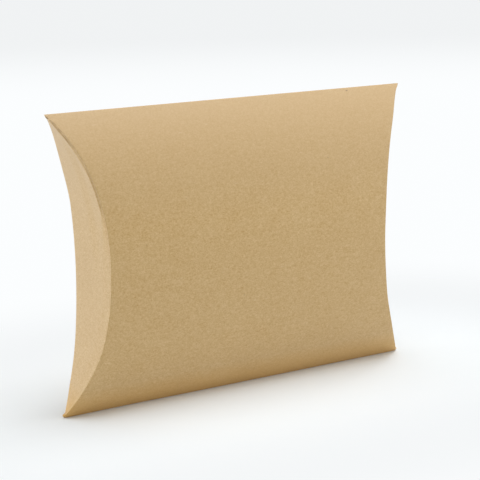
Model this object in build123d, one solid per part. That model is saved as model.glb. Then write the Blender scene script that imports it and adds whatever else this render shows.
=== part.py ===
from build123d import *
import os

# Pillow box of brown kraft board.
# It is one die-cut blank: two arched panels, joined at a fold along the bottom and
# at a fold with a glued tab along the top, and two flaps on curved creases at each end.
# X runs from end to end, Y from front to back and Z from the lower fold to the upper one.
# The origin is the middle of the lower fold, where the box stands.

# Driving sizes of the closed box, in millimetres
length = 200.0
width = 150.0
depth = 40.0

# Board and glue: the film, and the slack between it and the board on each side
board = 0.45
glue_film = 0.10
film_gap = 0.06

# Straight folds: height of each scored strip
fold_strip = 2.0

# Glued seam inside the front panel, under the upper fold
tab_width = 15.0
tab_end_margin = 4.0
glue_width = 8.0
glue_end_margin = 9.0

# Running gaps of the end flaps
flap_gap = 0.25
crease_gap = 0.10
flap_tip_gap = 0.30
free_edge_setback = 0.40

# Material that a cutting shape reaches past what it cuts
overrun = 3.0

# Arch of a panel: where its crown arc meets its shoulder arcs
shoulder_width_share = 0.25
shoulder_rise_share = 0.82

# The pressed fold is two boards thick, so each arch starts one board from the middle
rise = depth / 2 - board
fold_point = Vector(board, width / 2)
crown_point = Vector(board + rise, 0)
shoulder_point = Vector(board + rise * shoulder_rise_share, width * (1 / 2 - shoulder_width_share))

# Crown arc: through both shoulder points and the crown
crown_drop = crown_point.X - shoulder_point.X
crown_radius = (shoulder_point.Y**2 + crown_drop**2) / (2 * crown_drop)
crown_centre = crown_point - Vector(crown_radius, 0)
shoulder_normal = (shoulder_point - crown_centre).normalized()

# Shoulder arc: tangent to the crown arc, down to the fold
shoulder_chord = shoulder_point - fold_point
shoulder_radius = shoulder_chord.length**2 / (2 * shoulder_normal.dot(shoulder_chord))
shoulder_centre = shoulder_point - shoulder_normal * shoulder_radius
fold_normal = (fold_point - shoulder_centre).normalized()
middle_normal = (shoulder_normal + fold_normal).normalized()

# Layers of the seam, counted inwards from the front panel's face
film_outer = board + film_gap
film_inner = film_outer + glue_film
tab_outer = film_inner + film_gap
tab_inner = tab_outer + board

# Depths of the layers at the ends, counted inwards from the outer flap's face
inner_flap_face = board + flap_gap
back_panel_end = board + crease_gap
front_panel_end = inner_flap_face + board + crease_gap
tab_end = front_panel_end + tab_end_margin
glue_end = front_panel_end + glue_end_margin

# Heights, counted from the middle of the box; the upper fold is pressed solid at its tip
top = width / 2
panel_half = top - fold_strip
pressed_half = top - 2 * board
flap_half = panel_half - flap_tip_gap
tab_low = panel_half - tab_width
glue_low = tab_low + (tab_width - glue_width) / 2

profile_plane = Plane(origin=(0, 0, width / 2), x_dir=(1, 0, 0), z_dir=(0, -1, 0))
section_plane = Plane(origin=(0, 0, width / 2), x_dir=(0, 1, 0), z_dir=(1, 0, 0))

# Sides of the box on which an arch can lie, as a sign and a shift
end_shift = -(length / 2 + board)
back = (1, 0)
front = (-1, 0)
left = (1, end_shift)
right = (-1, end_shift)


def arch(inset, side):
    """The three arcs of a panel's curve, moved inwards by inset, from the upper fold to the lower one."""
    sign, shift = side
    upper = [
        fold_point - fold_normal * inset,
        shoulder_centre + middle_normal * (shoulder_radius - inset),
        shoulder_point - shoulder_normal * inset,
    ]
    crown = crown_point - Vector(inset, 0)
    lower = [Vector(p.X, -p.Y) for p in reversed(upper)]
    points = [Vector(sign * (p.X + shift), p.Y) for p in upper + [crown] + lower]
    return [ThreePointArc(*points[first : first + 3]) for first in (0, 2, 4)]


def between(one, other):
    """The face between two arches, closed by a straight line at each fold."""
    ends = [Line(one[0] @ 0, other[0] @ 0), Line(one[-1] @ 1, other[-1] @ 1)]
    return make_face(one + other + ends)


def layer(outer, inner, side):
    """Section of a board or film that lies between two insets on one side."""
    return between(arch(outer, side), arch(inner, side))


def lens(back_inset, front_inset):
    """Section of all that lies between the back arch and the front one."""
    return between(arch(back_inset, back), arch(front_inset, front))


def window(low, high):
    """A rectangle as wide as the whole section, between two heights."""
    return Pos(0, (low + high) / 2) * Rectangle(depth + overrun, high - low)


def along_x(face):
    """A section drawn across the box, run from end to end."""
    return extrude(section_plane * face, amount=length / 2 + overrun, both=True)


def along_y(face):
    """An outline seen from the front, run from front to back."""
    return extrude(profile_plane * face, amount=depth / 2 + overrun, both=True)


def within_ends(section, inset):
    """The section run along X and cut by the curve of the end flaps, this far inside it."""
    return along_x(section) & along_y(between(arch(-inset, left), arch(-inset, right)))


def front_panel():
    section = layer(0, board, front) & window(-panel_half, top + overrun)
    return within_ends(section, front_panel_end)


def back_panel():
    section = layer(0, board, back) & window(-panel_half, panel_half)
    return within_ends(section, back_panel_end)


def bottom_fold():
    section = lens(0, 0) - lens(board, board)
    return within_ends(section & window(-top - overrun, -panel_half), 0)


def top_fold():
    """The upper fold turns from the back panel into the tab, under the front panel's edge."""
    pressed = lens(0, tab_outer) & window(pressed_half, top + overrun)
    section = layer(0, board, back) + layer(tab_outer, tab_inner, front) + pressed
    return within_ends(section & window(panel_half, top + overrun), 0)


def glue_tab():
    section = layer(tab_outer, tab_inner, front)
    return within_ends(section & window(tab_low, panel_half), tab_end)


def glue_line():
    section = layer(film_outer, film_inner, front)
    return within_ends(section & window(glue_low, glue_low + glue_width), glue_end)


def flap(section, face, side):
    """A flap one board thick: its face lies this far inside the end, and section bounds it."""
    sheet = along_y(layer(-face, -face - board, side))
    return sheet & along_x(section & window(-flap_half, flap_half))


def outer_flap(side):
    """Creased on the back panel, it closes the whole end and stops short of the front crease."""
    return flap(lens(0, free_edge_setback), 0, side)


def inner_flap(side):
    """Creased on the front panel, it is cut straight from tip to tip, so it covers the front half."""
    front_half = Pos(-(depth + overrun) / 2, 0) * Rectangle(depth + overrun, width)
    return flap(lens(0, 0) & front_half, inner_flap_face, side)


nodes = {
    "front_panel": front_panel(),
    "back_panel": back_panel(),
    "bottom_fold": bottom_fold(),
    "top_fold": top_fold(),
    "glue_tab": glue_tab(),
    "glue_line": glue_line(),
    "left_outer_flap": outer_flap(left),
    "left_inner_flap": inner_flap(left),
    "right_outer_flap": outer_flap(right),
    "right_inner_flap": inner_flap(right),
}

os.makedirs("parts", exist_ok=True)
for name, shape in nodes.items():
    export_step(shape, f"parts/{name}.step")
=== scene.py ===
import math

import bmesh
import bpy
import numpy as np
from bpy.props import FloatProperty, FloatVectorProperty, PointerProperty
from mathutils import Matrix, Vector


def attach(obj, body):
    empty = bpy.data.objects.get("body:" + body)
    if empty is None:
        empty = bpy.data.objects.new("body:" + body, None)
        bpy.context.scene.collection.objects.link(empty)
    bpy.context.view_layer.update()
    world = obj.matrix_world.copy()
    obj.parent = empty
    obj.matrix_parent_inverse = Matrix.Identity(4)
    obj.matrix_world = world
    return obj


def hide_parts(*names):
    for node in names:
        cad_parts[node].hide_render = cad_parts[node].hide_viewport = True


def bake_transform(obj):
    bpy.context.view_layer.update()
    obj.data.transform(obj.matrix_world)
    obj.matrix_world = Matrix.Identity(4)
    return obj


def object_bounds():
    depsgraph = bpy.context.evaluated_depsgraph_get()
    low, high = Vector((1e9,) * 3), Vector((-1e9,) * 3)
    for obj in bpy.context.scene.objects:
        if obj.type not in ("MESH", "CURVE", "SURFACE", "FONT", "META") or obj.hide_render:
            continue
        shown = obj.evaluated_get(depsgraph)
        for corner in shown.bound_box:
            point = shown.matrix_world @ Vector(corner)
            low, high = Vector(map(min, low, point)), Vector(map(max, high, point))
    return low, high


bl_info = {
    "name": "Pillow Box",
    "version": (1, 0, 0),
    "blender": (4, 5, 0),
    "location": "View3D > Sidebar > Pillow Box",
    "description": "Dresses a pillow box in creased kraft board and sets it on a studio floor",
    "category": "Add Mesh",
}

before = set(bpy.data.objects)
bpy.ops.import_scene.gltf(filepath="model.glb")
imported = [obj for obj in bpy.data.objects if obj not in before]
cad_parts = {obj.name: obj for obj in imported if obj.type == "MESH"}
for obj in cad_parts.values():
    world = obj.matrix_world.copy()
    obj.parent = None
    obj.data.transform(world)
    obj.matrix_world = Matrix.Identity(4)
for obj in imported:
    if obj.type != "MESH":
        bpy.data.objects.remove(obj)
cad_low, cad_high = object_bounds()
BOX_LENGTH = cad_high.x - cad_low.x
BOX_DEPTH = cad_high.y - cad_low.y
BOX_WIDTH = cad_high.z - cad_low.z
BOX_MIDDLE = Vector((0, 0, BOX_WIDTH / 2))

MM = 0.001
LEFT, RIGHT = -1, 1
BACK, FRONT = 1, -1
END_NAMES = {LEFT: "left", RIGHT: "right"}

# Mesh attribute with a point's place on the flat blank, where a panel is this much longer than
# the box is wide
COORDINATE = "blank"
BLANK_STRETCH = 1.06

# Heights on the blank, in metres: where the painted sheen near the upper fold starts, over which
# it grows, and up to which the painted shade beside the lower fold reaches
SHEEN_START, SHEEN_SPAN, SHADE_REACH = 0.100, 0.055, 0.016

# Points in the board's grids, material slot of its cut edges, and angle from which it is sharp
PANEL_ROWS, PANEL_COLUMNS, FLAP_ROWS = 82, 90, 110
CUT_EDGE = 1
SHARP_ANGLE = math.radians(38)

# How far inside an end a panel's piece hands over to its flap's
FRONT_JOINT = 2.4 * MM
BACK_JOINT = 1.25 * MM

# Gap between the flaps of an end, gap beside an outer flap's free edge, and thinnest section
FLAP_GAP = 0.2 * MM
EDGE_GAP = 0.1 * MM
SLIVER = 0.05 * MM

# Half depth of the box from which on a crease has its full form, and the largest part of a half
# depth that a crease takes up
FULL_DEPTH = 3 * MM
CREASE_SHARE = 0.45

# Layers of the seam, counted from the inner side of the front panel
GLUE_OUTER, GLUE_INNER, TAB_OUTER = 0.06 * MM, 0.16 * MM, 0.22 * MM

# Where the creases have settled: middle and reach of each place, in shares of the height
FRONT_FOOT, FRONT_TIP = (0.14, 0.14), (0.96, 0.07)
BACK_FOOT, BACK_SHOULDER = (0, 0.10), (0.84, 0.16)
FOLD_TIP = (0, 0.035)

# Upper half of a front crease, where it has settled further in: the start, growth and end of
# that, in shares of the height, and the share over which its outer flap comes to dip more
SHOULDER_START, SHOULDER_SPAN, SHOULDER_END = 0.52, 0.15, 0.02
UPPER_SPAN = 0.2

# Lean of the front panel: its start, growth and end, in shares of the height, and the depth in
# front of the middle over which it sets in
LEAN_START, LEAN_SPAN, LEAN_END = 0.45, 0.2, 0.13
LEAN_DEPTH = 8 * MM

# Lifts of the lower fold off the floor: middle, reach and share of the full lift
FOLD_LIFTS = ((-66 * MM, 32 * MM, 1), (62 * MM, 26 * MM, 0.35))

# White that the floor shows: its strength beside the box, kept lower there as painted shade round
# the box, further off and far away, and the distances in metres at which it starts, brightens and
# fades
SHADED_WHITE, BRIGHT_WHITE, FAR_WHITE = 0.90, 0.995, 0.90
WHITE_START = -0.015
BRIGHTENING, FADING = (0.07, 0.22), (1.2, 2.4)

# Width of the camera's sensor, in millimetres
SENSOR_WIDTH = 36


def linear(red, green, blue):
    """A colour written in screen values from 0 to 255, as the scene's linear values."""
    def channel(value):
        share = value / 255
        return share / 12.92 if share <= 0.04045 else ((share + 0.055) / 1.055) ** 2.4
    return channel(red), channel(green), channel(blue)


def smooth(share):
    """Rises from 0 to 1 with no corner at either end."""
    share = np.clip(share, 0, 1)
    return share * share * (3 - 2 * share)


def hump(share, middle, reach):
    """1 at the middle and 0 from this far on, with no corner."""
    away = np.clip(np.abs(share - middle) / reach, 0, 1)
    return (1 - away * away) ** 2


class PillowBoxSizes(bpy.types.PropertyGroup):
    """Sizes of the board and its creases."""
    board: FloatProperty(
        name="Board", description="Thickness of the kraft board",
        default=0.45 * MM, min=0.2 * MM, max=1 * MM, unit="LENGTH", precision=5)
    shoulder_width_share: FloatProperty(
        name="Shoulder width", description="Part of the box's width under each shoulder arc",
        default=0.25, min=0.1, max=0.4, subtype="FACTOR")
    shoulder_rise_share: FloatProperty(
        name="Shoulder rise", description="Part of a panel's rise that its shoulder arc makes",
        default=0.82, min=0.6, max=0.95, subtype="FACTOR")
    fold_strip: FloatProperty(
        name="Fold strip", description="Height of the scored strip at the upper and lower fold",
        default=2 * MM, unit="LENGTH", precision=5)
    back_crease_radius: FloatProperty(
        name="Back crease",
        description="Outer radius of the crease between the back panel and its flap",
        default=0.9 * MM, unit="LENGTH", precision=5)
    front_bead: FloatProperty(
        name="Front bead", description="Thickness of the bead that the front crease presses up",
        default=0.95 * MM, unit="LENGTH", precision=5)
    recess: FloatProperty(
        name="Recess", description="How far the flap's free edge sits under the front crease",
        default=0.3 * MM, unit="LENGTH", precision=5)
    corner_radius: FloatProperty(
        name="Corner", description="Radius that rounds off the ends of the lower fold",
        default=1.7 * MM, unit="LENGTH", precision=5)
    upper_recess: FloatProperty(
        name="Upper recess", description="How much further under it sits in the upper half",
        default=0.65 * MM, unit="LENGTH", precision=5)
    recess_span: FloatProperty(
        name="Recess span",
        description="Width of the strip along the free edge that dips under the crease",
        default=9 * MM, unit="LENGTH", precision=5)
    upper_recess_span: FloatProperty(
        name="Upper recess span",
        description="Width of that strip in the upper half, where it dips more",
        default=1.25 * MM, unit="LENGTH", precision=5)
    front_crease_shift: FloatProperty(
        name="Front crease shift",
        description="How far inwards the front creases have settled at mid-height",
        default=1.9 * MM, unit="LENGTH", precision=5)
    front_foot_shift: FloatProperty(
        name="Front foot shift",
        description="How far outwards the front creases have settled near the lower fold",
        default=0.7 * MM, unit="LENGTH", precision=5)
    back_crease_shift: FloatProperty(
        name="Back crease shift",
        description="How far outwards the back creases have settled at mid-height",
        default=0.73 * MM, unit="LENGTH", precision=5)
    back_shoulder_shift: FloatProperty(
        name="Back shoulder shift",
        description="How far outwards the back creases have settled near the upper fold",
        default=1.22 * MM, unit="LENGTH", precision=5)
    foot_trim: FloatProperty(
        name="Foot trim",
        description="How far the back creases stop short of the ends of the lower fold",
        default=0.83 * MM, unit="LENGTH", precision=5)
    tip_trim: FloatProperty(
        name="Tip trim", description="How far the tips of the lower fold are pushed in",
        default=0.2 * MM, unit="LENGTH", precision=5)
    front_shoulder_shift: FloatProperty(
        name="Front shoulder shift",
        description="How much further inwards the front creases have settled in their upper half",
        default=0.25 * MM, unit="LENGTH", precision=5)
    front_tip_shift: FloatProperty(
        name="Front tip shift",
        description="How much further still they have settled beside the upper fold",
        default=0.2 * MM, unit="LENGTH", precision=5)
    front_lean: FloatProperty(
        name="Front lean",
        description="How far to the right the front panel has settled in its upper half",
        default=0.62 * MM, unit="LENGTH", precision=5)
    fold_lift: FloatProperty(
        name="Fold lift",
        description="How far the lower fold stands off the floor left of its middle",
        default=0.12 * MM, unit="LENGTH", precision=5)
    panel_wave: FloatProperty(
        name="Panel wave", description="Depth of the gentle waves in the panels",
        default=0.12 * MM, unit="LENGTH", precision=5)
    tab_width: FloatProperty(
        name="Tab", description="Width of the glued tab under the upper fold",
        default=15 * MM, unit="LENGTH", precision=5)
    glue_width: FloatProperty(
        name="Glue line", description="Width of the glue line on the tab",
        default=8 * MM, unit="LENGTH", precision=5)
    bend_width: FloatProperty(
        name="Bend", description="Width of the strip beside a crease that bends as its flap opens",
        default=22 * MM, unit="LENGTH", precision=5)


class PillowBoxColours(bpy.types.PropertyGroup):
    """Colours of the board and the glue."""
    dense_kraft: FloatVectorProperty(
        name="Dense kraft", description="Colour of the board where its pulp lies dense",
        subtype="COLOR", min=0, max=1, default=linear(186, 142, 66))
    loose_kraft: FloatVectorProperty(
        name="Loose kraft", description="Colour of the board where its pulp lies loose",
        subtype="COLOR", min=0, max=1, default=linear(219, 189, 137))
    # Painted sheen: a greyer, paler kraft near the upper fold that stands in for the top lamp's
    # whitish reflection
    painted_sheen_kraft: FloatVectorProperty(
        name="Painted sheen kraft", description="Colour that the board tends to near the upper fold",
        subtype="COLOR", min=0, max=1, default=linear(197, 167, 124))
    # Painted shade: a browner, more saturated kraft beside the lower fold that stands in for the
    # shade on the strip facing the floor
    painted_shade_kraft: FloatVectorProperty(
        name="Painted shade kraft", description="Colour that the board tends to beside the lower fold",
        subtype="COLOR", min=0, max=1, default=linear(212, 160, 58))
    dark_fibre: FloatVectorProperty(
        name="Dark fibre", description="Colour of the bark specks in the board",
        subtype="COLOR", min=0, max=1, default=linear(120, 88, 52))
    pale_fibre: FloatVectorProperty(
        name="Pale fibre", description="Colour of the bleached fibres in the board",
        subtype="COLOR", min=0, max=1, default=linear(222, 200, 160))
    cut_edge: FloatVectorProperty(
        name="Cut edge", description="Mean colour of the board's cut edges",
        subtype="COLOR", min=0, max=1, default=linear(190, 158, 112))
    glue: FloatVectorProperty(
        name="Glue", description="Colour of the dried glue",
        subtype="COLOR", min=0, max=1, default=linear(214, 200, 168))


class PillowBoxStage(bpy.types.PropertyGroup):
    """Camera, lamps and floor."""
    azimuth: FloatProperty(
        name="Azimuth", description="Angle of the camera to the left of the front",
        default=0.4902, subtype="ANGLE")
    elevation: FloatProperty(
        name="Elevation", description="Angle of the camera above the middle of the box",
        default=0.2330, subtype="ANGLE")
    roll: FloatProperty(
        name="Roll", description="Turn of the camera about its own line of sight",
        default=-0.0246, subtype="ANGLE")
    distance: FloatProperty(
        name="Distance", description="Distance from the camera to the middle of the box",
        default=0.6667, subtype="DISTANCE")
    focal_length: FloatProperty(
        name="Focal length", description="Focal length on a sensor 36 mm wide, in millimetres",
        default=97.29)
    aim_right: FloatProperty(
        name="Aim right",
        description="How far the camera aims to the right of the middle of the box",
        default=1.59 * MM, subtype="DISTANCE", precision=5)
    aim_up: FloatProperty(
        name="Aim up", description="How far the camera aims above the middle of the box",
        default=1.75 * MM, subtype="DISTANCE", precision=5)
    top_power: FloatProperty(
        name="Top lamp", description="Power of the softbox over the box",
        default=11.5, unit="POWER")
    left_power: FloatProperty(
        name="Left lamp", description="Power of the softbox to the left, behind the box",
        default=4.9, unit="POWER")
    right_power: FloatProperty(
        name="Right lamp", description="Power of the softbox to the right",
        default=3.95, unit="POWER")
    world_strength: FloatProperty(
        name="Room light", description="Strength of the white light from all round",
        default=0.32, min=0)
    floor: FloatVectorProperty(
        name="Floor", description="Colour of the floor",
        subtype="COLOR", min=0, max=1, default=linear(239, 243, 245))
    room: FloatVectorProperty(
        name="Room", description="Colour of the white room and of the white on the floor",
        subtype="COLOR", min=0, max=1, default=linear(252, 254, 255))
    floor_fade: FloatProperty(
        name="Floor fade",
        description="Distance from the box over which the floor turns plain white",
        default=0.16, subtype="DISTANCE", min=0.05)


def joined(operation, swapped=False):
    """An operator of a Field, which adds one Math node."""
    def operator(field, other):
        first, second = (other, field) if swapped else (field, other)
        values = {"Value": first, "Value_001": second}
        return field.shader.add("ShaderNodeMath", {"operation": operation}, values)
    return operator


class Field:
    """A socket that joins in sums and products, so that shader maths reads as arithmetic."""

    def __init__(self, shader, socket):
        self.shader = shader
        self.socket = socket

    __add__, __radd__ = joined("ADD"), joined("ADD", swapped=True)
    __sub__, __rsub__ = joined("SUBTRACT"), joined("SUBTRACT", swapped=True)
    __mul__, __rmul__ = joined("MULTIPLY"), joined("MULTIPLY", swapped=True)
    __truediv__ = joined("DIVIDE")
    __gt__ = joined("GREATER_THAN")

    def clamped(self):
        """Kept between 0 and 1."""
        return self.shader.add("ShaderNodeClamp", {}, {"Value": self})


class Shader:
    """A material, or the world, under construction."""

    def __init__(self, owner):
        owner.use_nodes = True
        self.tree = owner.node_tree
        self.tree.nodes.clear()

    def add(self, kind, settings, values, result=0):
        """Adds a node: its settings first, then its sockets by identifier. Returns one output."""
        node = self.tree.nodes.new(kind)
        for name, value in settings.items():
            setattr(node, name, value)
        sockets = {socket.identifier: socket for socket in node.inputs}
        for name, value in values.items():
            if isinstance(value, Field):
                self.tree.links.new(value.socket, sockets[name])
            elif sockets[name].type == "RGBA":
                sockets[name].default_value = (*value, 1)
            else:
                sockets[name].default_value = value
        outputs = {socket.identifier: socket for socket in node.outputs}
        if not outputs:
            return None
        return Field(self, outputs[result] if isinstance(result, str) else node.outputs[result])

    def vector(self, operation, first, second, result=0):
        """A Vector Math node on two vectors."""
        values = {"Vector": first, "Vector_001": second}
        return self.add("ShaderNodeVectorMath", {"operation": operation}, values, result)

    def times(self, colour, tone):
        """A colour made lighter or darker by a tone, where 1 leaves it as it is."""
        values = {"Vector": colour, "Scale": tone}
        return self.add("ShaderNodeVectorMath", {"operation": "SCALE"}, values)

    def mixed(self, share, first, second):
        """The first colour, with a share of the second."""
        return self.add(
            "ShaderNodeMix", {"data_type": "RGBA"},
            {"Factor_Float": share, "A_Color": first, "B_Color": second}, "Result_Color")

    def noise(self, place, cells, detail=2.0, roughness=0.5):
        """Noise about 0, from -0.5 to 0.5, with this many cells to the metre in each direction."""
        vector = self.vector("MULTIPLY", place, cells)
        return self.add(
            "ShaderNodeTexNoise", {"noise_dimensions": "3D"},
            {"Vector": vector, "Scale": 1.0, "Detail": detail, "Roughness": roughness}) - 0.5

    def flecks(self, place, cells, size, softness, kept):
        """Round flecks, at most one to a cell. Only this part of the cells is kept."""
        smallest = 0.4
        vector = self.vector("MULTIPLY", place, cells)
        cell = {"voronoi_dimensions": "3D", "feature": "F1"}
        away = self.add("ShaderNodeTexVoronoi", cell, {"Vector": vector, "Scale": 1.0}, "Distance")
        chance = self.add("ShaderNodeTexVoronoi", cell, {"Vector": vector, "Scale": 1.0}, "Color")
        draw = self.add("ShaderNodeSeparateColor", {}, {"Color": chance}, "Red")
        grown = self.add("ShaderNodeSeparateColor", {}, {"Color": chance}, "Green")
        body = ((size * (smallest + (1 - smallest) * grown) - away) / softness).clamped()
        return body * (draw > 1 - kept)

    def bumped(self, height, strength, depth):
        """The surface's normal, roughened by a height that stands for this depth."""
        values = {"Strength": strength, "Distance": depth, "Height": height}
        return self.add("ShaderNodeBump", {}, values)


def new_material(name):
    """A new material, its shader, and the place on the flat blank, in metres, which stays with
    the board as it bends."""
    material = bpy.data.materials.new(name)
    shader = Shader(material)
    settings = {"attribute_type": "GEOMETRY", "attribute_name": COORDINATE}
    return material, shader, shader.add("ShaderNodeAttribute", settings, {}, "Vector")


def principled(shader, values):
    """Closes a material with the Principled shader."""
    made = shader.add("ShaderNodeBsdfPrincipled", {}, values)
    shader.add("ShaderNodeOutputMaterial", {}, {"Surface": made})


def kraft_face(colours):
    """Smooth side of kraft board: cloudy pulp, fibres along the grain, bark and pale fibres, and
    painted sheen and shade.
    """
    material, shader, place = new_material("kraft_face")
    cloud = shader.noise(place, (55, 70, 60), 3.0)
    mottle = shader.noise(place, (560, 640, 640), 3.0, 0.6)
    fibre = shader.noise(place, (1250, 1500, 1500), 2.0, 0.6)
    streak = shader.noise(place, (90, 700, 700), 2.0)
    loose = 0.5 + 0.20 * cloud + 0.85 * mottle + 1.36 * fibre + 0.10 * streak
    specks = shader.flecks(place, (170, 230, 230), size=0.085, softness=0.05, kept=0.30)
    bark = shader.flecks(place, (60, 95, 95), size=0.05, softness=0.02, kept=0.30)
    pale = shader.flecks(place, (120, 420, 420), size=0.16, softness=0.1, kept=0.35)
    up = shader.add("ShaderNodeSeparateXYZ", {}, {"Vector": place}, "Y")
    # Painted sheen: share of the upper part of the blank that turns greyer, standing in for the top
    # lamp's reflection
    painted_sheen = ((up - SHEEN_START) / SHEEN_SPAN).clamped()
    # Painted shade: share of the lowest strip of the blank, beside the lower fold, that turns
    # browner
    painted_shade = (1 - up / SHADE_REACH).clamped()
    colour = shader.mixed(loose, colours.dense_kraft, colours.loose_kraft)
    # Painted sheen near the upper fold
    colour = shader.mixed(0.6 * painted_sheen, colour, colours.painted_sheen_kraft)
    # Painted shade beside the lower fold
    colour = shader.mixed(0.75 * painted_shade, colour, colours.painted_shade_kraft)
    colour = shader.mixed(0.35 * pale, colour, colours.pale_fibre)
    colour = shader.mixed(0.40 * specks, colour, colours.dark_fibre)
    colour = shader.mixed(0.60 * bark, colour, colours.dark_fibre)
    height = 0.5 * fibre + 0.8 * mottle + 0.3 * streak - 0.2 * specks
    normal = shader.bumped(height, strength=0.5, depth=0.06 * MM)
    rough = 0.60 + 0.20 * mottle + 0.10 * cloud
    principled(shader, {
        "Base Color": colour, "Roughness": rough, "Normal": normal, "IOR": 1.6,
        "Sheen Weight": 0.45, "Sheen Roughness": 0.5})
    return material


def kraft_edge(colours):
    """Cut edge of kraft board: plies seen end on, torn fibres and small nicks."""
    material, shader, place = new_material("kraft_cut_edge")
    ply = shader.noise(place, (260, 260, 11000), 2.0, 0.6)
    torn = shader.noise(place, (1900, 1900, 3500), 3.0, 0.65)
    nicks = shader.flecks(place, (330, 330, 900), size=0.14, softness=0.05, kept=0.4)
    tone = 1 + 0.28 * ply + 0.24 * torn
    colour = shader.mixed(0.25 + 0.5 * torn, colours.cut_edge, colours.pale_fibre)
    colour = shader.times(colour, tone)
    colour = shader.mixed(0.35 * nicks, colour, colours.dark_fibre)
    height = 0.6 * ply + 0.7 * torn - 0.4 * nicks
    normal = shader.bumped(height, strength=0.7, depth=0.05 * MM)
    principled(shader, {
        "Base Color": colour, "Roughness": 0.85 + 0.15 * torn, "Normal": normal, "IOR": 1.46})
    return material


def dried_glue(colours):
    """Dried glue: clouded, with small bubbles and a soft gloss."""
    material, shader, place = new_material("dried_glue")
    cloud = shader.noise(place, (160, 320, 320), 3.0)
    bubbles = shader.flecks(place, (700, 700, 700), size=0.22, softness=0.06, kept=0.25)
    colour = shader.times(colours.glue, 1 + 0.3 * cloud)
    colour = shader.mixed(0.3 * bubbles, colour, colours.pale_fibre)
    normal = shader.bumped(cloud - 0.5 * bubbles, strength=0.6, depth=0.05 * MM)
    principled(shader, {
        "Base Color": colour, "Roughness": 0.35 + 0.3 * cloud, "Normal": normal, "IOR": 1.5})
    return material


def board_materials(colours):
    """Face and cut-edge materials, made once and shared by all the board."""
    made = bpy.data.materials
    return [
        made.get("kraft_face") or kraft_face(colours),
        made.get("kraft_cut_edge") or kraft_edge(colours)]


class Arch:
    """Half of the box's section: how far a panel stands from the middle at each height."""

    def __init__(self, sizes):
        self.half_width = BOX_WIDTH / 2
        self.panel_half = self.half_width - sizes.fold_strip
        self.board = sizes.board
        self.sizes = sizes
        rise = BOX_DEPTH / 2 - sizes.board
        fold = Vector((sizes.board, self.half_width))
        self.shoulder_height = BOX_WIDTH * (0.5 - sizes.shoulder_width_share)
        shoulder = Vector((sizes.board + rise * sizes.shoulder_rise_share, self.shoulder_height))
        drop = BOX_DEPTH / 2 - shoulder.x
        self.crown_radius = (shoulder.y ** 2 + drop ** 2) / (2 * drop)
        self.crown_centre = BOX_DEPTH / 2 - self.crown_radius
        self.shoulder_normal = (shoulder - Vector((self.crown_centre, 0))).normalized()
        chord = shoulder - fold
        self.shoulder_radius = chord.length_squared / (2 * self.shoulder_normal.dot(chord))
        self.shoulder_centre = shoulder - self.shoulder_normal * self.shoulder_radius

    def heights(self, rows):
        """Heights between the strips of the two folds, counted from the middle of the box."""
        return np.linspace(-self.panel_half, self.panel_half, rows)

    def depth(self, height, inset=0.0):
        """Distance from the middle to the panel's face, or to a layer this far inside it."""
        def standing(radius, reach):
            """How far an arc of this radius stands out at this reach from its centre."""
            return np.sqrt((radius - inset) ** 2 - reach ** 2)
        height = np.abs(height)
        split = self.shoulder_height - self.shoulder_normal.y * inset
        crown = self.crown_centre + standing(self.crown_radius, np.minimum(height, split))
        reach = np.maximum(height, split) - self.shoulder_centre.y
        shoulder = self.shoulder_centre.x + standing(self.shoulder_radius, reach)
        return np.where(height <= split, crown, shoulder)

    def normal(self, height):
        """The face's outward normal, as its parts away from the middle and upwards."""
        distance = np.abs(height)
        crown = distance <= self.shoulder_height
        rise = np.where(
            crown, distance / self.crown_radius,
            (distance - self.shoulder_centre.y) / self.shoulder_radius)
        return np.sqrt(1 - rise ** 2), np.sign(height) * rise

    def layer(self, heights, inset):
        """Points of a layer, each under its own point of the face: depths and heights."""
        outward, upward = self.normal(heights)
        return self.depth(heights) - inset * outward, heights - inset * upward

    def shoulder_shift(self, heights):
        """How much further inwards a front crease has settled in its upper half than its flap."""
        up = heights / BOX_WIDTH + 0.5
        shift = self.sizes.front_shoulder_shift * smooth((up - SHOULDER_START) / SHOULDER_SPAN)
        shift = shift + self.sizes.front_tip_shift * hump(up, *FRONT_TIP)
        return shift * smooth((1 - up) / SHOULDER_END)

    def shift(self, heights, share):
        """How far inwards the ends have settled. The share is 0 on a back crease and 1 on a
        front one."""
        sizes = self.sizes
        up = heights / BOX_WIDTH + 0.5
        full = (self.depth(heights) / (BOX_DEPTH / 2)) ** 2
        front = sizes.front_crease_shift * full - sizes.front_foot_shift * hump(up, *FRONT_FOOT)
        front = front + self.shoulder_shift(heights)
        back = -sizes.back_crease_shift * full
        back = back - sizes.back_shoulder_shift * hump(up, *BACK_SHOULDER)
        back = back + sizes.foot_trim * hump(up, *BACK_FOOT)
        return back + (front - back) * share + sizes.tip_trim * hump(up, *FOLD_TIP)

    def end(self, heights, inside, share):
        """Distance from the middle of the box to its end, this far inside the end flap's face.
        The end has the panel's own curve, shifted so that its tips lie at the folds' ends."""
        reach = BOX_LENGTH / 2 + self.board - self.depth(heights)
        return reach - inside - self.shift(heights, share)


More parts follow.
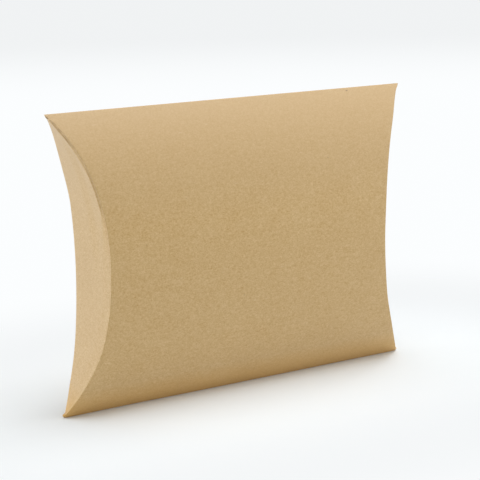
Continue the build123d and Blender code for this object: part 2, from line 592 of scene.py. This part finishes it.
def settled(points, sizes):
    """The box as it stands: its lower fold lifts off the floor in two places, its panels wave a
    little, and its front panel leans over in the upper half."""
    x, y, z = points[..., 0], points[..., 1], points[..., 2]
    up = z / BOX_WIDTH
    lifted = sum(share * hump(x, middle, reach) for middle, reach, share in FOLD_LIFTS)
    lift = sizes.fold_lift * lifted * np.clip(1 - up, 0, 1) ** 2
    # Waves in radians to the metre, each with its own start
    ripple = np.sin(x * 74 + 1.3) * np.cos(z * 51 + 0.4)
    sway = np.sin(x * 31 - z * 43 + 2.1)
    wave = 0.5 + 0.25 * ripple + 0.25 * sway
    across = np.clip(1 - (2 * x / BOX_LENGTH) ** 2, 0, 1)
    inward = 1 - sizes.panel_wave / (BOX_DEPTH / 2) * wave * across
    lean = sizes.front_lean * smooth((up - LEAN_START) / LEAN_SPAN) * smooth((1 - up) / LEAN_END)
    lean = lean * smooth(-y / LEAN_DEPTH)
    return np.stack([x + lean, y * inward, z + lift], -1)


def blank_place(points, fold):
    """Where each point of the box lay on the flat blank. The fold is 0 for a panel, and for a flap
    the side of its crease, because a flap's board goes on past the crease."""
    x, y, z = points[:, 0], points[:, 1], points[:, 2]
    if not fold:
        return np.stack([x, z * BLANK_STRETCH, y], -1)
    end = BOX_LENGTH / 2
    return np.stack([np.sign(x) * (end - fold * y), z * BLANK_STRETCH, np.abs(x)], -1)


def as_points(x, y, z):
    """A grid of points from their parts, each a whole grid or one row or column of it."""
    return np.stack(np.broadcast_arrays(x, y, z), -1)


def board_piece(name, outer, inner, cut, sizes, colours, fold=0, rounding=0.07 * MM):
    """Closed board between two grids of points, with the borders named in cut as die-cut edges."""
    rows, columns = outer.shape[:2]
    outer, inner = settled(outer, sizes), settled(inner, sizes)
    shell = bmesh.new()
    grids = []
    for grid in (outer, inner):
        grids.append([
            [shell.verts.new(grid[i, j]) for j in range(columns)] for i in range(rows)])
    for grid in grids:
        for i in range(rows - 1):
            for j in range(columns - 1):
                shell.faces.new((grid[i][j], grid[i + 1][j], grid[i + 1][j + 1], grid[i][j + 1]))
    borders = {
        "low": [(0, j) for j in range(columns)],
        "high": [(rows - 1, j) for j in range(columns)],
        "start": [(i, 0) for i in range(rows)],
        "finish": [(i, columns - 1) for i in range(rows)],
    }
    trimmed = []
    for side, path in borders.items():
        for (i, j), (k, m) in zip(path, path[1:]):
            face = shell.faces.new((grids[0][i][j], grids[0][k][m], grids[1][k][m], grids[1][i][j]))
            if side in cut:
                face.material_index = CUT_EDGE
                for grid in grids:
                    trimmed.append(shell.edges.get((grid[i][j], grid[k][m])))
    bmesh.ops.recalc_face_normals(shell, faces=shell.faces)
    if trimmed and rounding:
        bmesh.ops.bevel(
            shell, geom=trimmed, offset=rounding, segments=2, profile=0.5, affect="EDGES",
            clamp_overlap=True, material=CUT_EDGE)
    return finished(name, shell, board_materials(colours), fold)


def placed(name, data):
    """A new object in the scene."""
    made = bpy.data.objects.new(name, data)
    bpy.context.scene.collection.objects.link(made)
    return made


def finished(name, shell, materials, fold):
    """Turns the built shape into a shaded object that remembers its place on the blank."""
    mesh = bpy.data.meshes.new(name)
    shell.to_mesh(mesh)
    shell.free()
    mesh.polygons.foreach_set("use_smooth", [True] * len(mesh.polygons))
    mesh.set_sharp_from_angle(angle=SHARP_ANGLE)
    for material in materials:
        mesh.materials.append(material)
    points = np.empty(len(mesh.vertices) * 3)
    mesh.vertices.foreach_get("co", points)
    place = mesh.attributes.new(COORDINATE, "FLOAT_VECTOR", "POINT")
    place.data.foreach_set("vector", blank_place(points.reshape(-1, 3), fold).ravel())
    return placed(name, mesh)


def panel_grids(arch, side, heights, insets, inside, columns=PANEL_COLUMNS):
    """Outer and inner grids of a layer of a panel, from end to end. It stops this far inside the
    end flap's face, at each height or at all."""
    grids = []
    across = np.linspace(-1, 1, columns)[None, :]
    for inset in insets:
        depth, height = arch.layer(heights, inset)
        reach = arch.end(height, inside, (1 - side) / 2)[:, None]
        y = (side * depth)[:, None]
        z = (height + arch.half_width)[:, None]
        grids.append(as_points(reach * across, y, z))
    return grids


def end_grids(arch, end, side, heights, paths):
    """Outer and inner grids of a flap from its paths: how deep each point lies inside the end, and
    how far from the panel's face."""
    grids = []
    for inside, from_face in paths:
        y = side * (arch.depth(heights)[:, None] - from_face)
        share = 0.5 - y / (2 * arch.depth(heights)[:, None])
        x = end * arch.end(heights[:, None], inside, share)
        grids.append(as_points(x, y, (heights + arch.half_width)[:, None]))
    return grids


def upper_half(heights):
    """Rises from 0 at mid-height to 1 in the upper half, where an outer flap dips more."""
    return smooth(heights / BOX_WIDTH / UPPER_SPAN)


def fullness(depth):
    """1 along a crease, and less near its tips, where the box is too thin for its full form."""
    return np.minimum(depth / FULL_DEPTH, 1)


def outer_flap_paths(arch, heights, sizes):
    """Level sections of an outer flap: from the back panel round the crease to the free edge."""
    depth = arch.depth(heights)[:, None]
    board = sizes.board / arch.normal(heights)[0][:, None]
    radius = np.minimum(sizes.back_crease_radius, CREASE_SHARE * depth)
    inner_radius = np.maximum(radius - board, SLIVER)
    full = fullness(depth)
    edge = 2 * depth - (sizes.front_bead + EDGE_GAP) * full
    turn = np.linspace(0, math.pi / 2, 8)[None, :]
    along = np.linspace(0, 1, 26)[None, 1:]
    proud = arch.shoulder_shift(heights)[:, None]
    upper = upper_half(heights)[:, None]
    dip = (sizes.recess + sizes.upper_recess * upper) * full + proud
    span = sizes.recess_span + (sizes.upper_recess_span - sizes.recess_span) * upper
    widest = 0.6 * edge
    span = np.minimum(span, widest)
    lead = np.full_like(depth, BACK_JOINT)
    flat = np.zeros_like(depth)
    outer_across = radius + (edge - radius) * along
    outer_sunk = dip * smooth((outer_across - edge + span) / span)
    outer_sunk = outer_sunk - proud * outer_across / (2 * depth)
    start = board + inner_radius
    inner_across = start + (edge - start) * along
    inner_sunk = board + dip * smooth((inner_across - edge + span) / span)
    inner_sunk = inner_sunk - proud * inner_across / (2 * depth)
    outer = (
        np.hstack([lead, radius - radius * np.sin(turn), outer_sunk]),
        np.hstack([flat, radius - radius * np.cos(turn), outer_across]))
    inner = (
        np.hstack([lead, start - inner_radius * np.sin(turn), inner_sunk]),
        np.hstack([board, start - inner_radius * np.cos(turn), inner_across]))
    return outer, inner


def inner_flap_paths(arch, heights, sizes):
    """Level sections of an inner flap: from the front panel round the bead to the middle."""
    depth = arch.depth(heights)[:, None]
    board = sizes.board / arch.normal(heights)[0][:, None]
    full = fullness(depth)
    bead = sizes.front_bead / 2 * full
    fillet = 0.3 * MM * full
    recess = sizes.recess + sizes.upper_recess * upper_half(heights)[:, None]
    face = recess * full + sizes.board + FLAP_GAP
    around = np.linspace(-math.pi / 2, math.pi / 2, 12)[None, :]
    turn = np.linspace(0, math.pi / 2, 6)[None, :]
    along = np.linspace(0, 1, 16)[None, 1:]
    lead = np.full_like(depth, FRONT_JOINT)
    flat = np.zeros_like(depth)
    outer_start = 2 * bead + fillet
    inner_start = board + fillet
    clustered = np.linspace(0, 1, 12)[None, :] * (face + board + fillet - FRONT_JOINT)
    clustered = clustered + FRONT_JOINT
    outer = (
        np.hstack([
            lead, bead - bead * np.cos(around), face - fillet + fillet * np.sin(turn),
            face + flat * along]),
        np.hstack([
            flat, bead + bead * np.sin(around), outer_start - fillet * np.cos(turn),
            outer_start + (depth - outer_start) * along]))
    inner = (
        np.hstack([
            lead, clustered, face + board + fillet - fillet * np.sin(turn),
            face + board + flat * along]),
        np.hstack([
            board, board + 0 * clustered, inner_start - fillet * np.cos(turn),
            inner_start + (depth - inner_start) * along]))
    return outer, inner


def bend(piece, arch, side):
    """Bakes a flap's transform into its mesh. The reach of the crease's middle is worked out but
    not used."""
    reach = float(arch.end(0, 0, (1 - side) / 2))
    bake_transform(piece)


def board_settings():
    """Sizes and colours of the board, and the arch that they give."""
    scene = bpy.context.scene
    return scene.pillow_box_sizes, scene.pillow_box_colours, Arch(scene.pillow_box_sizes)


class PILLOWBOX_OT_front_panel(bpy.types.Operator):
    """Arched front panel, up to the cut edge of the seam"""
    bl_idname = "pillow_box.front_panel"
    bl_label = "Front Panel"

    def execute(self, context):
        sizes, colours, arch = board_settings()
        step = 0.02 * MM
        above_flaps = np.linspace(arch.panel_half + step, arch.half_width, 6)
        heights = np.concatenate([arch.heights(PANEL_ROWS), above_flaps])
        inside = np.where(heights > arch.panel_half, SLIVER, FRONT_JOINT)
        outer, inner = panel_grids(arch, FRONT, heights, (0, sizes.board), inside)
        piece = board_piece("front_panel_board", outer, inner, ("high",), sizes, colours)
        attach(piece, "shell")
        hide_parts("front_panel")
        return {"FINISHED"}


class PILLOWBOX_OT_back_panel(bpy.types.Operator):
    """Arched back panel"""
    bl_idname = "pillow_box.back_panel"
    bl_label = "Back Panel"

    def execute(self, context):
        sizes, colours, arch = board_settings()
        heights = arch.heights(PANEL_ROWS)
        outer, inner = panel_grids(arch, BACK, heights, (0, sizes.board), BACK_JOINT)
        piece = board_piece("back_panel_board", outer, inner, (), sizes, colours)
        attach(piece, "shell")
        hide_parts("back_panel")
        return {"FINISHED"}


def ring_grid(arch, depth, height):
    """A fold's section, given as depths and heights, run from end to end. The second result is
    how far each column lies from the nearer end."""
    near = np.array([0, 0.1, 0.25, 0.45, 0.7, 1.0, 1.35, 1.7, 2.2]) * MM
    even_from = 5 * MM
    even = np.linspace(even_from, BOX_LENGTH - even_from, 80)
    steps = np.concatenate([near, even, BOX_LENGTH - near[::-1]])
    share = np.clip(0.5 - depth / (2 * arch.depth(height)), 0, 1)
    reach = arch.end(height, 0, share)[:, None]
    x = (steps / BOX_LENGTH * 2 - 1)[None, :] * reach
    points = as_points(x, depth[:, None], (height + arch.half_width)[:, None])
    return points, np.minimum(steps, BOX_LENGTH - steps)


def rounded_off(from_tip, radius):
    """How far a face draws back near an end that is rounded off with this radius."""
    short = np.clip(radius - from_tip, 0, radius)
    return radius - np.sqrt(radius ** 2 - short ** 2)


class PILLOWBOX_OT_folds(bpy.types.Operator):
    """Lower fold that the box stands on, and upper fold that turns into the tab"""
    bl_idname = "pillow_box.folds"
    bl_label = "Folds"

    def execute(self, context):
        sizes, colours, arch = board_settings()
        self.lower(arch, sizes, colours)
        self.upper(arch, sizes, colours)
        return {"FINISHED"}

    def lower(self, arch, sizes, colours):
        """A channel whose ends close in a rounded nose, where both creases of a flap run out."""
        underside, nose_radius = 0.5 * MM, 0.85 * MM
        plug_length, plug_drop, plug_share = 1.5 * MM, 0.03 * MM, 0.9
        strip = arch.panel_half
        side = np.linspace(strip, arch.half_width - underside, 6)
        under = np.linspace(0, math.pi, 9)[1:-1]
        tip = arch.depth(side[-1:])
        depth = np.concatenate([-arch.depth(side), -tip * np.cos(under), arch.depth(side[::-1])])
        height = np.concatenate([-side, -side[-1] - underside * np.sin(under), -side[::-1]])
        outer, from_tip = ring_grid(arch, depth, height)
        drop, lift = arch.layer(side, sizes.board)
        drop = np.maximum(drop, SLIVER)
        bottom = np.linspace(-drop[-1], drop[-1], len(under) + 2)[1:-1]
        inner_depth = np.concatenate([-drop, bottom, drop[::-1]])
        inner_height = np.concatenate([-lift, np.full(len(under), -lift[-1]), -lift[::-1]])
        inner, _ = ring_grid(arch, inner_depth, inner_height)
        crease = np.minimum(nose_radius, CREASE_SHARE * np.abs(depth))[:, None]
        narrowed = np.abs(outer[..., 1]) - rounded_off(from_tip[None, :], crease)
        outer[..., 1] = np.sign(outer[..., 1]) * narrowed
        share = ((-strip - height) / sizes.fold_strip)[:, None]
        outer[..., 2] += share * rounded_off(from_tip, sizes.corner_radius)[None, :]
        plug = from_tip < plug_length
        inner[:, plug, 2] = arch.half_width - strip - plug_drop
        inner[:, plug, 1] *= plug_share
        piece = board_piece("lower_fold_board", outer, inner, (), sizes, colours)
        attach(piece, "shell")
        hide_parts("bottom_fold")

    def upper(self, arch, sizes, colours):
        """The back panel's board, pressed over at the top and run down inside the front panel."""
        top, low = arch.half_width, arch.panel_half
        tab_outer = sizes.board + TAB_OUTER
        tab_inner = tab_outer + sizes.board
        over, over_drop = np.array([[0.52, 0.34, 0.14, -0.02], [0.14, 0.03, 0.06, 0.25]]) * MM
        under, under_drop = np.array([[0.50, 0.44, 0.38, 0.32], [0.9, 0.8, 0.8, 0.9]]) * MM
        back_end, tab_end, inside_end = top - 0.35 * MM, top - 0.75 * MM, top - 1.1 * MM
        back, tab = np.linspace(low, back_end, 6), np.linspace(tab_end, low, 5)
        depth = np.concatenate([arch.depth(back), over, -arch.depth(tab, tab_outer)])
        height = np.concatenate([back, top - over_drop, tab])
        outer, _ = ring_grid(arch, depth, height)
        inside = np.linspace(low, inside_end, 6)
        inner_depth = np.concatenate([
            arch.depth(inside, sizes.board), under, -arch.depth(inside[:0:-1], tab_inner)])
        inner_height = np.concatenate([inside, top - under_drop, inside[:0:-1]])
        inner, _ = ring_grid(arch, inner_depth, inner_height)
        piece = board_piece(
            "upper_fold_board", outer, inner, ("start", "finish"), sizes, colours, rounding=0)
        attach(piece, "shell")
        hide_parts("top_fold")


class PILLOWBOX_OT_seam(bpy.types.Operator):
    """Glued tab inside the front panel, with its glue line"""
    bl_idname = "pillow_box.seam"
    bl_label = "Seam"

    def execute(self, context):
        sizes, colours, arch = board_settings()
        top = arch.panel_half
        tab_outer = sizes.board + TAB_OUTER
        corner_height, corner_cut = 6 * MM, 0.035
        heights = np.linspace(top - sizes.tab_width, top, 14)
        insets = (tab_outer, tab_outer + sizes.board)
        outer, inner = panel_grids(arch, FRONT, heights, insets, inside=5.25 * MM)
        corner = smooth((heights - heights[0]) / corner_height)[:, None]
        for grid in (outer, inner):
            grid[..., 0] *= 1 - corner_cut * (1 - corner)
        piece = board_piece(
            "seam_tab_board", outer, inner, ("low", "start", "finish"), sizes, colours)
        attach(piece, "shell")
        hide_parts("glue_tab")
        self.glue(arch, sizes, colours, top)
        return {"FINISHED"}

    def glue(self, arch, sizes, colours, top):
        """A film on the middle of the tab, squeezed out to an uneven width."""
        low = top - sizes.tab_width + (sizes.tab_width - sizes.glue_width) / 2
        heights = np.linspace(low, low + sizes.glue_width, 10)
        insets = (sizes.board + GLUE_OUTER, sizes.board + GLUE_INNER)
        grids = panel_grids(arch, FRONT, heights, insets, inside=10.25 * MM, columns=120)
        middle = low + sizes.glue_width / 2 + arch.half_width
        for grid in grids:
            x = grid[..., 0]
            # Share of the full width that is left: waves in radians to the metre, each with a start
            squeeze = 0.86 + 0.08 * np.sin(x * 310) + 0.06 * np.sin(x * 905 + 1.7)
            grid[..., 2] = middle + (grid[..., 2] - middle) * squeeze
        piece = board_piece("glue_bead", *grids, (), sizes, colours, rounding=0)
        piece.data.materials.clear()
        piece.data.materials.append(dried_glue(colours))
        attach(piece, "shell")
        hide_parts("glue_line")


class PILLOWBOX_OT_outer_flaps(bpy.types.Operator):
    """Crescent flaps creased on the back panel, which close both ends"""
    bl_idname = "pillow_box.outer_flaps"
    bl_label = "Outer Flaps"

    def execute(self, context):
        sizes, colours, arch = board_settings()
        heights = arch.heights(FLAP_ROWS)
        outer_path, inner_path = outer_flap_paths(arch, heights, sizes)
        for end, name in END_NAMES.items():
            outer, inner = end_grids(arch, end, BACK, heights, (outer_path, inner_path))
            piece = board_piece(
                f"{name}_outer_flap_board", outer, inner, ("low", "high", "finish"), sizes,
                colours, fold=BACK)
            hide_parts(f"{name}_outer_flap")
            bend(piece, arch, BACK)
        return {"FINISHED"}


class PILLOWBOX_OT_inner_flaps(bpy.types.Operator):
    """Flaps creased on the front panel, under the outer ones"""
    bl_idname = "pillow_box.inner_flaps"
    bl_label = "Inner Flaps"

    def execute(self, context):
        sizes, colours, arch = board_settings()
        heights = arch.heights(FLAP_ROWS)
        outer_path, inner_path = inner_flap_paths(arch, heights, sizes)
        for end, name in END_NAMES.items():
            outer, inner = end_grids(arch, end, FRONT, heights, (outer_path, inner_path))
            piece = board_piece(
                f"{name}_inner_flap_board", outer, inner, ("low", "high", "finish"), sizes,
                colours, fold=FRONT)
            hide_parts(f"{name}_inner_flap")
            bend(piece, arch, FRONT)
        return {"FINISHED"}


class PILLOWBOX_OT_stage(bpy.types.Operator):
    """Pale floor, soft lamps and the camera"""
    bl_idname = "pillow_box.stage"
    bl_label = "Stage"

    def execute(self, context):
        scene = context.scene
        stage = scene.pillow_box_stage
        scene.view_settings.view_transform = "Standard"
        scene.camera = self.camera(stage)
        self.lamps(stage)
        scene.world = self.room(stage)
        self.floor(stage)
        return {"FINISHED"}

    def camera(self, stage):
        """A camera placed by the stage's angles, aimed a little off the middle of the box."""
        level = math.cos(stage.elevation)
        sight = Vector((
            math.sin(stage.azimuth) * level, math.cos(stage.azimuth) * level,
            -math.sin(stage.elevation)))
        place = BOX_MIDDLE - sight * stage.distance
        right = Vector((math.cos(stage.azimuth), -math.sin(stage.azimuth), 0))
        up = right.cross(sight)
        turned_right = right * math.cos(stage.roll) + up * math.sin(stage.roll)
        turned_up = up * math.cos(stage.roll) - right * math.sin(stage.roll)
        aim = BOX_MIDDLE + turned_right * stage.aim_right + turned_up * stage.aim_up
        back = (place - aim).normalized()
        turned_right = turned_up.cross(back).normalized()
        turned_up = back.cross(turned_right)
        data = bpy.data.cameras.new("studio_camera")
        data.lens = stage.focal_length
        data.sensor_width = SENSOR_WIDTH
        data.clip_start, data.clip_end = 0.01, 50
        camera = placed("studio_camera", data)
        turn = Matrix((turned_right, turned_up, back)).transposed().to_4x4()
        camera.matrix_world = Matrix.Translation(place) @ turn
        return camera

    def lamps(self, stage):
        """Softboxes that face the box, each with its place, its size and its power."""
        plans = (
            ("top_softbox", (0.13, -0.05, 1.14), (0.9, 0.9), stage.top_power),
            ("left_softbox", (-1.08, 0.45, 0.13), (0.4, 0.24), stage.left_power),
            ("right_softbox", (1.15, -0.60, 0.42), (0.9, 0.8), stage.right_power),
        )
        for name, place, size, power in plans:
            data = bpy.data.lights.new(name, "AREA")
            data.shape = "RECTANGLE"
            data.size, data.size_y = size
            data.energy = power
            lamp = placed(name, data)
            lamp.location = place
            towards = BOX_MIDDLE - Vector(place)
            lamp.rotation_euler = towards.to_track_quat("-Z", "Y").to_euler()
            lamp.visible_camera = False

    def seen_rays(self, shader):
        """1 for the rays that show the background, straight or in a reflection."""
        names = ("Is Camera Ray", "Is Glossy Ray", "Is Transmission Ray")
        seen, glossy, through = (shader.add("ShaderNodeLightPath", {}, {}, name) for name in names)
        return (seen + glossy + through).clamped()

    def ramp(self, shader, value, low, high):
        """Rises from 0 to 1 as the value goes from low to high, with no corner."""
        return shader.add(
            "ShaderNodeMapRange", {"interpolation_type": "SMOOTHSTEP"},
            {"Value": value, "From Min": low, "From Max": high})

    def room(self, stage):
        """Light from all round, behind which the background shows white."""
        world = bpy.data.worlds.new("white_room")
        shader = Shader(world)
        seen = self.seen_rays(shader)
        strength = stage.world_strength + seen * (FAR_WHITE - stage.world_strength)
        values = {"Color": stage.room, "Strength": strength}
        light = shader.add("ShaderNodeBackground", {}, values)
        shader.add("ShaderNodeOutputWorld", {}, {"Surface": light})
        return world

    def from_foot(self, shader, place):
        """Distance of a place on the floor from the line that the box stands on."""
        foot = place
        for operation, end in (("MAXIMUM", -BOX_LENGTH / 2), ("MINIMUM", BOX_LENGTH / 2)):
            foot = shader.vector(operation, foot, (end, 0, 0))
        return shader.vector("DISTANCE", place, foot, "Value")

    def floor(self, stage):
        """A pale disc, shaded near the box and shown white further off, its white dimmer beside the
        box as painted shade.
        """
        disc = bmesh.new()
        bmesh.ops.create_circle(disc, cap_ends=True, cap_tris=False, segments=96, radius=6)
        mesh = bpy.data.meshes.new("floor")
        disc.to_mesh(mesh)
        disc.free()
        material = bpy.data.materials.new("pale_floor")
        shader = Shader(material)
        place = shader.add("ShaderNodeTexCoord", {}, {}, "Object")
        grain = shader.noise(place, (90, 90, 90), 4.0)
        colour = shader.times(stage.floor, 1 + 0.01 * grain)
        sheet = shader.add("ShaderNodeBsdfDiffuse", {}, {"Color": colour})
        away = self.from_foot(shader, place)
        near = self.ramp(shader, away, WHITE_START, stage.floor_fade)
        rise = self.ramp(shader, away, *BRIGHTENING)
        far = self.ramp(shader, away, *FADING)
        # Painted shade: the white is dimmer beside the box and brightens further off
        strength = SHADED_WHITE + (BRIGHT_WHITE - SHADED_WHITE) * rise
        strength = strength - (BRIGHT_WHITE - FAR_WHITE) * far
        white = shader.add("ShaderNodeEmission", {}, {"Color": stage.room, "Strength": strength})
        values = {"Fac": self.seen_rays(shader) * near, "Shader": sheet, "Shader_001": white}
        both = shader.add("ShaderNodeMixShader", {}, values)
        shader.add("ShaderNodeOutputMaterial", {}, {"Surface": both})
        mesh.materials.append(material)
        floor = placed("floor", mesh)


class PILLOWBOX_PT_panel(bpy.types.Panel):
    """Lists the steps and settings of the pillow box"""
    bl_idname = "PILLOWBOX_PT_panel"
    bl_label = "Pillow Box"
    bl_space_type = "VIEW_3D"
    bl_region_type = "UI"
    bl_category = "Pillow Box"

    def draw(self, context):
        for group_name in GROUPS:
            group = getattr(context.scene, group_name)
            box = self.layout.box()
            for name in group.__annotations__:
                box.prop(group, name)
        for step in STEPS:
            self.layout.operator(step.bl_idname)


GROUPS = {
    "pillow_box_sizes": PillowBoxSizes,
    "pillow_box_colours": PillowBoxColours,
    "pillow_box_stage": PillowBoxStage,
}
STEPS = (
    PILLOWBOX_OT_front_panel,
    PILLOWBOX_OT_back_panel,
    PILLOWBOX_OT_folds,
    PILLOWBOX_OT_seam,
    PILLOWBOX_OT_outer_flaps,
    PILLOWBOX_OT_inner_flaps,
    PILLOWBOX_OT_stage,
)
CLASSES = (*GROUPS.values(), *STEPS, PILLOWBOX_PT_panel)


def register():
    for item in CLASSES:
        bpy.utils.register_class(item)
    for name, group in GROUPS.items():
        setattr(bpy.types.Scene, name, PointerProperty(type=group))


def unregister():
    for name in GROUPS:
        delattr(bpy.types.Scene, name)
    for item in reversed(CLASSES):
        bpy.utils.unregister_class(item)


def main():
    register()
    bpy.ops.pillow_box.front_panel()
    bpy.ops.pillow_box.back_panel()
    bpy.ops.pillow_box.folds()
    bpy.ops.pillow_box.seam()
    bpy.ops.pillow_box.outer_flaps()
    bpy.ops.pillow_box.inner_flaps()
    bpy.ops.pillow_box.stage()


if __name__ == "__main__":
    main()
